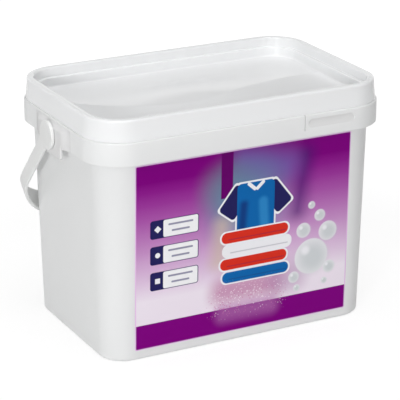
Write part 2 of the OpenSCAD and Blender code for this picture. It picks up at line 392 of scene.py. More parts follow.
class SectionSweep:
    """Geometry Nodes tree that carries an open section round a rectangular core.

    A section is a row of joined points: x is the distance from the core's outline and z the height.
    It starts and ends on the outline, and two panels over the core close the shell.
    """

    weld: float = 0.002

    def __init__(self) -> None:
        """Builds the tree."""
        inputs = [
            ("Section", GEOMETRY, None), ("Core Length", FLOAT, 0.2), ("Core Width", FLOAT, 0.1),
            ("Path Radius", FLOAT, 0.01), ("Corner Steps", WHOLE, 20), ("Longest Step", FLOAT, 0.005),
            ("Upper Panel", FLOAT, 0.01), ("Lower Panel", FLOAT, 0.0), ("Crown", FLOAT, 0.0),
            ("Material", MATERIAL, None),
        ]
        made = new_group("section_round_core", "GeometryNodeTree", inputs, [("Shell", GEOMETRY)])
        self.tree, self.sheet, self.given, result = made
        path = self._path()
        parts = [self._skirt(path), self._panel("Upper Panel"), self._panel("Lower Panel")]
        join = self.sheet.add("GeometryNodeJoinGeometry")
        for part in parts:
            self.tree.links.new(part, join.inputs[0])
        merged = self.sheet.add("GeometryNodeMergeByDistance", {
            "Geometry": join.outputs[0], "Distance": self.weld * MM})
        real = self.sheet.add("GeometryNodeRealizeInstances", {"Geometry": merged.outputs[0]})
        dressed = self.sheet.add("GeometryNodeSetMaterial", {
            "Geometry": real.outputs[0], "Material": self.given["Material"]})
        self.tree.links.new(dressed.outputs[0], result.inputs[0])

    def _path(self) -> bpy.types.NodeSocket:
        """Rounded rectangle round the core whose straight runs are cut into short steps."""
        sheet = self.sheet
        grow = sheet.math("MULTIPLY", self.given["Path Radius"], 2.0)
        frame_curve = sheet.add("GeometryNodeCurvePrimitiveQuadrilateral", {
            "Width": sheet.math("ADD", self.given["Core Length"], grow),
            "Height": sheet.math("ADD", self.given["Core Width"], grow)})
        rounded = sheet.add("GeometryNodeFilletCurve", {
            "Curve": frame_curve.outputs[0], "Radius": self.given["Path Radius"],
            "Count": self.given["Corner Steps"]}, mode="POLY")
        here = sheet.add("GeometryNodeInputPosition").outputs[0]
        following = sheet.add("GeometryNodeOffsetPointInCurve", {"Offset": 1}).outputs["Point Index"]
        there = sheet.add("GeometryNodeFieldAtIndex", {"Index": following, "Value": here},
                          data_type="FLOAT_VECTOR").outputs[0]
        gap = sheet.add("ShaderNodeVectorMath", {0: here, 1: there}, operation="DISTANCE").outputs["Value"]
        steps = sheet.math("CEIL", sheet.math("DIVIDE", gap, self.given["Longest Step"]))
        cut = sheet.add("GeometryNodeSubdivideCurve", {
            "Curve": rounded.outputs[0], "Cuts": sheet.math("SUBTRACT", steps, 1.0)})
        return cut.outputs[0]

    def _half_core(self) -> bpy.types.NodeSocket:
        """Corner of the core as a vector from its middle."""
        sheet = self.sheet
        return sheet.add("ShaderNodeCombineXYZ", {
            "X": sheet.math("MULTIPLY", self.given["Core Length"], 0.5),
            "Y": sheet.math("MULTIPLY", self.given["Core Width"], 0.5)}).outputs[0]

    def _skirt(self, path: bpy.types.NodeSocket) -> bpy.types.NodeSocket:
        """Grid that follows the path one way and the section the other.

        Args:
            path: Socket with the path as a curve.

        Returns:
            The socket with the grid in its place.
        """
        sheet = self.sheet
        section = self.given["Section"]
        around = sheet.add("GeometryNodeAttributeDomainSize", {0: path}, component="CURVE")
        around_count = around.outputs["Point Count"]
        along = sheet.add("GeometryNodeAttributeDomainSize", {0: section}, component="MESH")
        along_count = along.outputs["Point Count"]
        grid = sheet.add("GeometryNodeMeshGrid", {
            "Vertices X": sheet.math("ADD", around_count, 1.0), "Vertices Y": along_count})
        index = sheet.add("GeometryNodeInputIndex").outputs[0]
        column = sheet.math("FLOOR", sheet.math("DIVIDE", sheet.math("ADD", index, 0.5), along_count))
        row = sheet.math("SUBTRACT", index, sheet.math("MULTIPLY", column, along_count))
        here = sheet.add("GeometryNodeInputPosition").outputs[0]
        on_path = sheet.add("GeometryNodeSampleIndex", {
            "Geometry": path, "Value": here, "Index": sheet.math("MODULO", column, around_count)},
            data_type="FLOAT_VECTOR").outputs[0]
        on_section = sheet.add("GeometryNodeSampleIndex", {
            "Geometry": section, "Value": here, "Index": row}, data_type="FLOAT_VECTOR").outputs[0]
        half = self._half_core()
        nearest = sheet.vector("MAXIMUM", sheet.vector("MINIMUM", on_path, half),
                               sheet.vector("MULTIPLY", half, (-1.0, -1.0, 0.0)))
        outward = sheet.vector("NORMALIZE", sheet.vector("SUBTRACT", on_path, nearest))
        parts = sheet.add("ShaderNodeSeparateXYZ", {0: on_section})
        spread = sheet.add("ShaderNodeVectorMath", {0: outward, "Scale": parts.outputs["X"]},
                           operation="SCALE").outputs[0]
        rise = sheet.add("ShaderNodeCombineXYZ", {"Z": parts.outputs["Z"]}).outputs[0]
        place = sheet.vector("ADD", sheet.vector("ADD", nearest, spread), rise)
        return sheet.add("GeometryNodeSetPosition", {
            "Geometry": grid.outputs["Mesh"], "Position": place}).outputs[0]

    def _panel(self, level: str) -> bpy.types.NodeSocket:
        """Level grid over the core, raised to the crown in its middle.

        Args:
            level: Name of the input that gives its height.

        Returns:
            The socket with the grid.
        """
        sheet = self.sheet
        counts = {}
        swell = []
        parts = sheet.add("ShaderNodeSeparateXYZ", {0: sheet.add("GeometryNodeInputPosition").outputs[0]})
        for axis, side in (("X", "Core Length"), ("Y", "Core Width")):
            steps = sheet.math("CEIL", sheet.math("DIVIDE", self.given[side], self.given["Longest Step"]))
            counts["Vertices " + axis] = sheet.math("ADD", steps, 1.0)
            counts["Size " + axis] = self.given[side]
            share = sheet.math("DIVIDE", parts.outputs[axis], self.given[side])
            wave = sheet.math("COSINE", sheet.math("MULTIPLY", share, math.pi))
            swell.append(sheet.math("MULTIPLY", wave, wave))
        grid = sheet.add("GeometryNodeMeshGrid", counts)
        crown = sheet.math("MULTIPLY", sheet.math("MULTIPLY", *swell), self.given["Crown"])
        lift = sheet.add("ShaderNodeCombineXYZ", {"Z": sheet.math("ADD", crown, self.given[level])})
        return sheet.add("GeometryNodeSetPosition", {
            "Geometry": grid.outputs["Mesh"], "Offset": lift.outputs[0]}).outputs[0]

    def shell(self, name: str, section: Sequence[Point2], settings: dict[str, Any]) -> bpy.types.Object:
        """Carries one section round the core.

        Args:
            name: Name of the piece.
            section: Points of the section in millimetres.
            settings: Values of the tree's named inputs.

        Returns:
            The closed shell.
        """
        rows = [(r, 0.0, z) for r, z in section]
        edges = [(i, i + 1) for i in range(len(rows) - 1)]
        item = make_object(name, make_mesh(name, rows, edges=edges))
        run_tree(item, self.tree, settings)
        tidy_shell(item)
        return item


def run_tree(item: bpy.types.Object, tree: bpy.types.NodeTree, settings: dict[str, Any]) -> None:
    """Runs a Geometry Nodes tree on an object and keeps the result as its plain mesh.

    Args:
        item: Object whose mesh goes into the tree.
        tree: The tree.
        settings: Values of its named inputs.
    """
    modifier = item.modifiers.new(tree.name, "NODES")
    modifier.node_group = tree
    for socket in tree.interface.items_tree:
        if socket.item_type == "SOCKET" and socket.in_out == "INPUT" and socket.name in settings:
            modifier[socket.identifier] = settings[socket.name]
    bake_modifiers(item)


@dataclass(frozen=True)
class MouldedGrain:
    """Shared shader group of a moulded plastic surface: faint tone drift, gloss drift and grain."""

    name: str = "moulded_grain"

    def build(self) -> bpy.types.NodeTree:
        """Builds the group, or returns it if it is there."""
        if self.name in bpy.data.node_groups:
            return bpy.data.node_groups[self.name]
        inputs = [("Vector", VECTOR, None), ("Tone", COLOUR, (0.8, 0.8, 0.8, 1.0)),
                  ("Drift", FLOAT, 0.02), ("Drift Scale", FLOAT, 14.0), ("Gloss Low", FLOAT, 0.35),
                  ("Gloss High", FLOAT, 0.5), ("Grain Scale", FLOAT, 900.0)]
        outputs = [("Color", COLOUR), ("Roughness", FLOAT), ("Height", FLOAT)]
        tree, sheet, given, result = new_group(self.name, "ShaderNodeTree", inputs, outputs)
        cloud = sheet.add("ShaderNodeTexNoise", {
            "Vector": given["Vector"], "Scale": given["Drift Scale"], "Detail": 3.0, "Roughness": 0.55})
        swing = sheet.math("MULTIPLY", sheet.math("SUBTRACT", cloud.outputs["Fac"], 0.5), given["Drift"])
        level = sheet.math("ADD", 1.0, sheet.math("MULTIPLY", swing, 2.0))
        tone = sheet.add("ShaderNodeVectorMath", {0: given["Tone"], "Scale": level}, operation="SCALE")
        smear = sheet.add("ShaderNodeTexNoise", {
            "Vector": given["Vector"], "Scale": 60.0, "Detail": 2.0, "Roughness": 0.6})
        gloss = sheet.add("ShaderNodeMapRange", {
            0: smear.outputs["Fac"], 1: 0.3, 2: 0.7, 3: given["Gloss Low"], 4: given["Gloss High"]})
        grain = sheet.add("ShaderNodeTexNoise", {
            "Vector": given["Vector"], "Scale": given["Grain Scale"], "Detail": 2.0, "Roughness": 0.5})
        soft = sheet.add("ShaderNodeTexNoise", {
            "Vector": given["Vector"], "Scale": 45.0, "Detail": 1.0, "Roughness": 0.4})
        height = sheet.math("ADD", sheet.math("MULTIPLY", grain.outputs["Fac"], 0.35), soft.outputs["Fac"])
        for key, socket in (("Color", tone.outputs[0]), ("Roughness", gloss.outputs[0]), ("Height", height)):
            sheet.tree.links.new(socket, result.inputs[key])
        return tree


def start_material(name: str) -> tuple[bpy.types.Material, NodeSheet, bpy.types.Node]:
    """Starts a node material.

    Args:
        name: Name of the material.

    Returns:
        The material, a sheet to add nodes with, and its Principled shader.
    """
    material = bpy.data.materials.new(name)
    material.use_nodes = True
    shader = material.node_tree.nodes["Principled BSDF"]
    return material, NodeSheet(material.node_tree), shader


@dataclass(frozen=True)
class MouldedPlastic:
    """Satin white polypropylene as it comes out of the mould."""

    name: str
    tone: Colour
    gloss_low: float = 0.34
    gloss_high: float = 0.46
    drift: float = 0.012
    grain: float = 900.0
    bump: float = 0.12
    bump_depth: float = 0.00012
    specular: float = 0.4
    depth_share: float = 0.12
    depth: float = 0.004

    def warp(self, sheet: NodeSheet, where: Any) -> dict[str, Any]:
        """Feeds for the grain's bump from a broader one; none for a flat moulding."""
        return {}

    def build(self) -> bpy.types.Material:
        """Builds the material from the shared grain group."""
        material, sheet, shader = start_material(self.name)
        where = sheet.add("ShaderNodeTexCoord").outputs["Object"]
        grain = sheet.group(MouldedGrain().build(), {
            "Vector": where, "Tone": self.tone, "Drift": self.drift,
            "Gloss Low": self.gloss_low, "Gloss High": self.gloss_high, "Grain Scale": self.grain})
        bump = sheet.add("ShaderNodeBump", {
            "Height": grain.outputs["Height"], "Strength": self.bump, "Distance": self.bump_depth,
            **self.warp(sheet, where)})
        for key, socket in (("Base Color", grain.outputs["Color"]),
                            ("Roughness", grain.outputs["Roughness"]), ("Normal", bump.outputs[0])):
            sheet.tree.links.new(socket, shader.inputs[key])
        shader.inputs["Specular IOR Level"].default_value = self.specular
        shader.inputs["Subsurface Weight"].default_value = self.depth_share
        shader.inputs["Subsurface Radius"].default_value = (1.0, 1.0, 1.0)
        shader.inputs["Subsurface Scale"].default_value = self.depth
        return material


@dataclass(frozen=True)
class PanelPlastic(MouldedPlastic):
    """Plastic of a lid whose thin recessed panel sags in one broad wave; lengths in millimetres."""

    reach_x: float = 118.7
    reach_y: float = 73.4
    valley: float = -24.0
    turn_x: float = -15.0
    left_run: float = 83.0
    left_rise: float = 44.0
    right_run: float = 107.0
    right_rise: float = 34.0
    slope: float = 0.17
    soften: float = 3.0

    def warp(self, sheet: NodeSheet, where: Any) -> dict[str, Any]:
        """Leans the panel's front part to the front; the wave's edge dips left of the middle.

        Args:
            sheet: Sheet of the material.
            where: Socket with the place in metres.

        Returns:
            The normal that the grain's bump starts from.
        """
        scaled = sheet.vector("MULTIPLY", where, (1 / MM, 1 / MM, 1 / MM))
        parts = sheet.add("ShaderNodeSeparateXYZ", {0: scaled})
        x, y = parts.outputs["X"], parts.outputs["Y"]
        away = sheet.math("SUBTRACT", x, self.turn_x)
        left = sheet.math("MINIMUM", sheet.math("DIVIDE", away, self.left_run), 0.0)
        bowl = sheet.math("MULTIPLY", sheet.math("MULTIPLY", left, left), self.left_rise)
        bank = sheet.ramp(away, 0.0, self.right_run, self.valley, self.valley + self.right_rise)
        front = sheet.math("SUBTRACT", sheet.math("ADD", bowl, bank), y)
        ahead = sheet.math("SMOOTH_MAX", front, 0.0, self.soften)
        height = sheet.math("MULTIPLY", ahead, -self.slope * MM)
        inside_x = sheet.math("LESS_THAN", sheet.math("ABSOLUTE", x), self.reach_x)
        inside_y = sheet.math("LESS_THAN", sheet.math("ABSOLUTE", y), self.reach_y)
        broad = sheet.add("ShaderNodeBump", {
            "Height": height, "Distance": 1.0, "Strength": sheet.math("MULTIPLY", inside_x, inside_y)})
        return {"Normal": broad.outputs[0]}


@dataclass(frozen=True)
class Plate:
    """Rounded plate of one ink in the label's print; x and z are its middle, in millimetres."""

    x: float
    z: float
    width: float
    height: float
    colour: Colour
    corner: float = 0.0
    turn: float = 0.0
    soft: float = 0.5
    cover: float = 1.0


class LabelShapes:
    """Shared shader groups that mask simple shapes in the plane of the label."""

    def __init__(self) -> None:
        """Builds the group of a rounded plate."""
        inputs = [(name, FLOAT, value) for name, value in (
            ("X", 0.0), ("Z", 0.0), ("Middle X", 0.0), ("Middle Z", 0.0), ("Half Width", 1.0),
            ("Half Height", 1.0), ("Corner", 0.0), ("Turn", 0.0), ("Soft", 0.5), ("Cover", 1.0))]
        made = new_group("print_plate", "ShaderNodeTree", inputs, [("Mask", FLOAT)])
        self.plate, sheet, given, result = made
        across = sheet.math("SUBTRACT", given["X"], given["Middle X"])
        up = sheet.math("SUBTRACT", given["Z"], given["Middle Z"])
        cosine = sheet.math("COSINE", given["Turn"])
        sine = sheet.math("SINE", given["Turn"])
        turned = (
            sheet.math("ADD", sheet.math("MULTIPLY", across, cosine), sheet.math("MULTIPLY", up, sine)),
            sheet.math("SUBTRACT", sheet.math("MULTIPLY", up, cosine), sheet.math("MULTIPLY", across, sine)),
        )
        beyond = []
        for value, half in zip(turned, (given["Half Width"], given["Half Height"])):
            inner = sheet.math("SUBTRACT", half, given["Corner"])
            beyond.append(sheet.math("SUBTRACT", sheet.math("ABSOLUTE", value), inner))
        outside = [sheet.math("MAXIMUM", value, 0.0) for value in beyond]
        squares = [sheet.math("MULTIPLY", value, value) for value in outside]
        corner = sheet.math("SQRT", sheet.math("ADD", *squares))
        inside = sheet.math("MINIMUM", sheet.math("MAXIMUM", *beyond), 0.0)
        distance = sheet.math("SUBTRACT", sheet.math("ADD", corner, inside), given["Corner"])
        edge = sheet.math("SUBTRACT", 0.5, sheet.math("DIVIDE", distance, given["Soft"]), clamp=True)
        smooth = sheet.ramp(edge, 0.0, 1.0, 0.0, 1.0)
        mask = sheet.math("MULTIPLY", smooth, given["Cover"])
        sheet.tree.links.new(mask, result.inputs["Mask"])

    def mask(self, sheet: NodeSheet, x: Any, z: Any, plate: Plate) -> bpy.types.NodeSocket:
        """Masks one plate of the print.

        Args:
            sheet: Sheet of the label's material.
            x: Socket with the place across the label in millimetres.
            z: Socket with the height in millimetres.
            plate: The plate.

        Returns:
            The socket with the plate's cover, 0 to 1.
        """
        node = sheet.group(self.plate, {
            "X": x, "Z": z, "Middle X": plate.x, "Middle Z": plate.z,
            "Half Width": plate.width / 2, "Half Height": plate.height / 2, "Corner": plate.corner,
            "Turn": math.radians(plate.turn), "Soft": plate.soft, "Cover": plate.cover})
        return node.outputs["Mask"]


def disc(x: float, z: float, radius: float, colour: Colour, soft: float = 0.5,
         cover: float = 1.0) -> Plate:
    """Round plate of one ink."""
    return Plate(x, z, 2 * radius, 2 * radius, colour, corner=radius, soft=soft, cover=cover)


@dataclass(frozen=True)
class LabelPrint:
    """Generic print of the label: fields of colour, a folded wash with bubbles and three panels."""

    violet: tuple[int, int, int] = (130, 0, 129)
    lilac: tuple[int, int, int] = (246, 236, 247)
    half_width: float = 97.0
    top: float = 165.5
    foot: float = 9.0
    band_top: float = 30.2
    bleed: float = 4.0
    fade_from: float = 150.0
    fade_to: float = 50.0
    fade_power: float = 0.85
    navy: Colour = ink(38, 36, 92)
    blue: Colour = ink(18, 104, 176)
    sky: Colour = ink(120, 190, 222)
    white: Colour = ink(246, 246, 250)
    red: Colour = ink(222, 52, 36)

    def fields(self) -> list[Plate]:
        """Soft fields of colour that lie under the motifs."""
        return [
            Plate(52, 128, 12, 60, ink(66, 24, 112), corner=6, turn=-8, soft=22, cover=0.75),
            Plate(18, 150, 62, 26, ink(120, 96, 176), corner=12, turn=-14, soft=26, cover=0.8),
            Plate(-16, 132, 40, 40, ink(112, 124, 140), corner=18, turn=30, soft=30, cover=0.7),
            Plate(2, 118, 62, 60, ink(96, 150, 176), corner=28, soft=40, cover=0.75),
            Plate(-22, 88, 14, 44, ink(214, 194, 176), corner=7, turn=-6, soft=18, cover=0.7),
            Plate(4, 46, 66, 22, ink(196, 120, 168), corner=10, soft=20, cover=0.75),
            Plate(40, 48, 34, 26, ink(190, 150, 190), corner=12, soft=22, cover=0.6),
            Plate(2, 27, 54, 10, ink(196, 130, 190), corner=5, soft=12, cover=0.5),
        ]

    def shirt(self) -> list[Plate]:
        """A spread shirt with a pale outline."""
        plates = []
        for grow, body, sleeve in ((3.0, self.white, self.white), (0.0, self.blue, self.navy)):
            plates += [
                Plate(-9, 121, 17 + grow, 26 + grow, sleeve, corner=3, turn=-38),
                Plate(29, 121, 17 + grow, 26 + grow, sleeve, corner=3, turn=38),
                Plate(10, 108, 34 + grow, 56 + grow, body, corner=4),
            ]
        plates += [
            Plate(18, 102, 8, 40, ink(52, 142, 204), corner=4, turn=4, soft=5, cover=0.8),
            Plate(-2, 100, 7, 42, ink(22, 50, 120), corner=3, turn=-4, soft=6, cover=0.8),
            Plate(6.2, 132.5, 10, 3.0, self.white, corner=1.4, turn=-42),
            Plate(13.8, 132.5, 10, 3.0, self.white, corner=1.4, turn=42),
        ]
        return plates

    def towels(self) -> list[Plate]:
        """A stack of folded towels."""
        plates = []
        folds = ((self.blue, 1), (self.red, -1), (self.white, 2), (self.red, 0))
        for level, (colour, shift) in enumerate(folds):
            z = 57 + 11.5 * level
            plates += [
                Plate(10 + shift, z, 64, 11.8, self.white, corner=5.4),
                Plate(10 + shift, z, 61, 9.4, colour, corner=4.6),
                Plate(12 + shift, z - 1.6, 53, 0.9, between(colour, self.navy, 0.35),
                      corner=0.4, soft=0.8),
            ]
        return plates

    def bubbles(self) -> list[Plate]:
        """Soap bubbles that rise at the right."""
        plates = []
        spots = ((63, 62, 15.5), (78, 82, 8.5), (55, 86, 6.5), (70, 97, 5.0), (47, 46, 5.0), (80, 50, 5.5),
                 (62, 107, 3.2), (50, 36, 3.0), (76, 38, 2.8))
        for x, z, radius in spots:
            plates += [
                disc(x, z, radius, ink(240, 242, 244), soft=1.2, cover=0.9),
                disc(x + radius * 0.1, z - radius * 0.08, radius * 0.78, ink(206, 212, 214),
                     soft=radius, cover=0.8),
                disc(x - radius * 0.36, z + radius * 0.38, radius * 0.24, self.white, soft=radius * 0.3),
            ]
        return plates

    def panels(self) -> list[Plate]:
        """Three navy and white panels with plain pictograms."""
        plates = []
        for row, z in enumerate((110.0, 88.0, 66.0)):
            plates += [
                Plate(-62.6, z, 42.8, 15.6, self.navy, corner=2.2),
                Plate(-57.2, z, 30.6, 14.4, ink(250, 250, 252), corner=1.6),
                Plate(-77.4, z, 4.4, 4.4, self.white, corner=(0.4, 2.2, 0.4)[row], turn=(45, 0, 0)[row]),
            ]
            plates += [Plate(-57.2, z + shift, length, 1.6, ink(150, 150, 172), corner=0.8)
                       for shift, length in ((2.8, 22), (-2.6, 16))]
        return plates

    def layers(self) -> list[Plate]:
        """Every plate of the print, from the lowest to the topmost."""
        violet = ink(*self.violet)
        band_height = self.band_top - self.foot
        band = Plate(0, self.foot + band_height / 2 - self.bleed / 2, 2 * (self.half_width + self.bleed),
                     band_height + self.bleed, violet, soft=0.4)
        tab = Plate(-16.4, 149, 10.6, 46, ink(104, 2, 106), soft=0.6)
        spill = Plate(4, 26, 56, 14, ink(190, 120, 186), corner=6, soft=14, cover=0.55)
        motifs = [*self.shirt(), *self.towels(), *self.bubbles(), *self.panels()]
        return [*self.fields(), band, spill, tab, *motifs]


@dataclass(frozen=True)
class LabelFilm:
    """Printed film with a satin gloss."""

    name: str = "printed_label_film"
    design: LabelPrint = field(default_factory=LabelPrint)
    roughness: float = 0.4
    specular: float = 0.04
    rim: float = 0.8

    def _ground(self, sheet: NodeSheet, z: Any) -> bpy.types.NodeSocket:
        """Violet that fades to pale lilac towards the foot of the label.

        Args:
            sheet: Sheet of the label's material.
            z: Socket with the height in millimetres.

        Returns:
            The socket with the colour.
        """
        design = self.design
        share = sheet.add("ShaderNodeMapRange", {
            0: z, 1: design.fade_from, 2: design.fade_to, 3: 0.0, 4: 1.0}).outputs[0]
        ramp = sheet.add("ShaderNodeValToRGB", {"Fac": sheet.math("POWER", share, design.fade_power)})
        stops = 8
        while len(ramp.color_ramp.elements) < stops + 1:
            ramp.color_ramp.elements.new(0.5)
        for i, element in enumerate(ramp.color_ramp.elements):
            tone = between(design.violet, design.lilac, i / stops)
            element.position = i / stops
            element.color = (*ink(*tone), 1.0)
        return ramp.outputs["Color"]

    def build(self) -> bpy.types.Material:
        """Builds the material from the plates of the print."""
        material, sheet, shader = start_material(self.name)
        design = self.design
        where = sheet.add("ShaderNodeTexCoord").outputs["Object"]
        scaled = sheet.vector("MULTIPLY", where, (1 / MM, 1 / MM, 1 / MM))
        parts = sheet.add("ShaderNodeSeparateXYZ", {0: scaled})
        x, z = parts.outputs["X"], parts.outputs["Z"]
        colour = self._ground(sheet, z)
        shapes = LabelShapes()
        for plate in design.layers():
            colour = sheet.mix(shapes.mask(sheet, x, z, plate), colour, plate.colour)
        colour = self._granules(sheet, scaled, x, z, colour, shapes)
        middle = (design.top + design.foot) / 2
        inner = Plate(0, middle, 2 * (design.half_width - self.rim), design.top - design.foot - 2 * self.rim,
                      design.white, corner=1.0, soft=0.5)
        edge_ink = ink(236, 196, 238)
        colour = sheet.mix(shapes.mask(sheet, x, z, inner), edge_ink, colour)
        film = sheet.add("ShaderNodeTexNoise", {"Vector": scaled, "Scale": 0.05, "Detail": 2.0})
        gloss = sheet.add("ShaderNodeMapRange", {
            0: film.outputs["Fac"], 1: 0.3, 2: 0.7, 3: self.roughness - 0.04, 4: self.roughness + 0.06})
        ripple = sheet.add("ShaderNodeBump", {
            "Height": film.outputs["Fac"], "Strength": 0.1, "Distance": 0.0002})
        for key, socket in (("Base Color", colour), ("Roughness", gloss.outputs[0]),
                            ("Normal", ripple.outputs[0])):
            sheet.tree.links.new(socket, shader.inputs[key])
        shader.inputs["Specular IOR Level"].default_value = self.specular
        return material

    def _granules(self, sheet: NodeSheet, where: Any, x: Any, z: Any, colour: Any,
                  shapes: LabelShapes) -> bpy.types.NodeSocket:
        """Scatters printed powder grains over the foot of the middle field.

        Args:
            sheet: Sheet of the label's material.
            where: Socket with the place in millimetres.
            x: Socket with the place across the label.
            z: Socket with the height.
            colour: Socket with the print so far.
            shapes: The shared masks.

        Returns:
            The socket with the print under the grains.
        """
        area = shapes.mask(sheet, x, z, Plate(4, 36, 70, 24, (1, 1, 1), corner=11, soft=16))
        cells = sheet.add("ShaderNodeTexVoronoi", {"Vector": where, "Scale": 0.55}, feature="F1")
        dots = sheet.ramp(cells.outputs["Distance"], 0.22, 0.32, 1.0, 0.0)
        some = sheet.math("GREATER_THAN", cells.outputs["Color"], 0.45)
        mask = sheet.math("MULTIPLY", sheet.math("MULTIPLY", area, dots), some)
        tint = sheet.mix(sheet.math("GREATER_THAN", cells.outputs["Color"], 0.7),
                         ink(250, 236, 246), ink(206, 120, 176))
        return sheet.mix(sheet.math("MULTIPLY", mask, 0.85), colour, tint)


@dataclass(frozen=True)
class SachetFilm:
    """Sealed white film over powder: crimped seam, soft creases and coloured grains that show through."""

    name: str = "sealed_sachet_film"
    tone: Colour = ink(233, 233, 240)

    def build(self) -> bpy.types.Material:
        """Builds the material; the seam attribute is 1 on the sealed edge."""
        material, sheet, shader = start_material(self.name)
        where = sheet.add("ShaderNodeTexCoord").outputs["Object"]
        seam = sheet.add("ShaderNodeAttribute", attribute_name="seam").outputs["Fac"]
        grains = sheet.add("ShaderNodeTexVoronoi", {"Vector": where, "Scale": 700.0}, feature="F1")
        speck = sheet.ramp(grains.outputs["Distance"], 0.12, 0.3, 1.0, 0.0)
        chosen = sheet.math("GREATER_THAN", grains.outputs["Color"], 0.62)
        share = sheet.math("MULTIPLY", sheet.math("MULTIPLY", speck, chosen),
                           sheet.math("SUBTRACT", 0.55, sheet.math("MULTIPLY", seam, 0.55)))
        tint = sheet.mix(sheet.math("GREATER_THAN", grains.outputs["Color"], 0.8),
                         ink(150, 120, 200), ink(96, 140, 214))
        body = sheet.mix(share, self.tone, tint)
        colour = sheet.mix(sheet.math("MULTIPLY", seam, 0.5), body, ink(240, 240, 246))
        powder = sheet.add("ShaderNodeTexNoise", {"Vector": where, "Scale": 420.0, "Detail": 3.0})
        crimp = sheet.add("ShaderNodeTexWave", {"Vector": where, "Scale": 260.0},
                          wave_type="BANDS", bands_direction="DIAGONAL")
        height = sheet.math("ADD", sheet.math("MULTIPLY", crimp.outputs["Fac"], seam), powder.outputs["Fac"])
        bump = sheet.add("ShaderNodeBump", {"Height": height, "Strength": 0.35, "Distance": 0.0003})
        gloss = sheet.math("ADD", 0.38, sheet.math("MULTIPLY", powder.outputs["Fac"], 0.12))
        for key, socket in (("Base Color", colour), ("Roughness", gloss), ("Normal", bump.outputs[0])):
            sheet.tree.links.new(socket, shader.inputs[key])
        return material


@dataclass(frozen=True)
class TubForm:
    """Driving dimensions of the tub and its lid, in millimetres, and what follows from them."""

    corner: float = 26.2
    wall_height: float = 168.3
    lean: float = 4.35
    wall: float = 1.8
    floor: float = 2.2
    base_round: float = 4.0
    channel_depth: float = 0.8
    channel_width: float = 9.0
    channel_margin: float = 3.0
    collar_height: float = 19.0
    collar_out: float = 7.6
    collar_wall: float = 2.4
    collar_round: float = 1.2
    rim_out: float = 2.7
    bead_drop: float = 5.0
    bead: float = 0.5
    skirt_height: float = 17.3
    lid_out: float = 5.0
    lid_flare: float = 1.4
    lid_wall: float = 1.5
    lid_fit: float = 0.3
    recess_depth: float = 16.0
    ledge_depth: float = 8.0
    ledge_width: float = 3.0
    crown: float = 5.0
    pivot_drop: float = 12.8
    ear_out: float = 3.4

    @property
    def core(self) -> Point2:
        """Length and width of the straight core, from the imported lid's box."""
        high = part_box("lid")[1] / MM
        foot = self.lid_edge + self.lid_flare
        return 2 * (high.x - foot), 2 * (high.y - foot)

    @property
    def collar_top(self) -> float:
        """Height of the collar's top."""
        return self.wall_height + self.collar_height

    @property
    def lid_foot(self) -> float:
        """Height of the lid's lower edge."""
        return self.collar_top + self.lid_fit

    @property
    def lid_top(self) -> float:
        """Height of the lid's top edge."""
        return self.lid_foot + self.skirt_height

    @property
    def rim_top(self) -> float:
        """Height of the tub's rim under the lid."""
        return self.lid_top - self.lid_wall - self.lid_fit

    @property
    def shelf(self) -> float:
        """Height of the underside of the shelf that carries the collar."""
        return self.collar_top - self.collar_wall

    @property
    def collar(self) -> float:
        """Distance of the collar's face from the core."""
        return self.corner + self.collar_out

    @property
    def rim(self) -> float:
        """Distance of the rim's outer face from the core."""
        return self.corner + self.rim_out

    @property
    def lid_edge(self) -> float:
        """Distance of the lid's top edge from the core."""
        return self.corner + self.lid_out

    @property
    def pivot(self) -> float:
        """Height of the handle's pivot."""
        return self.collar_top - self.pivot_drop

    @property
    def ear_face(self) -> float:
        """Distance of an ear's outer face from the middle plane."""
        return self.core[0] / 2 + self.collar + self.ear_out

    @property
    def skirt_face(self) -> float:
        """Distance of the collar's inner face from the middle plane, at the ends."""
        return self.core[0] / 2 + self.collar - self.collar_wall

    def wall_at(self, height: float) -> float:
        """Distance of the wall's outer face from the core at a height."""
        return self.corner - self.lean * (1 - height / self.wall_height)

    def settings(self, upper: float, lower: float, crown: float, material: bpy.types.Material,
                 ) -> dict[str, Any]:
        """Values for the sweep's inputs.

        Args:
            upper: Height of the upper panel.
            lower: Height of the lower panel.
            crown: Rise of both panels in the middle.
            material: Finish of the shell.

        Returns:
            The values by input name, in metres.
        """
        length, width = self.core
        return {"Core Length": length * MM, "Core Width": width * MM, "Path Radius": 10 * MM,
                "Corner Steps": 24, "Longest Step": 5 * MM, "Upper Panel": upper * MM,
                "Lower Panel": lower * MM, "Crown": crown * MM, "Material": material}


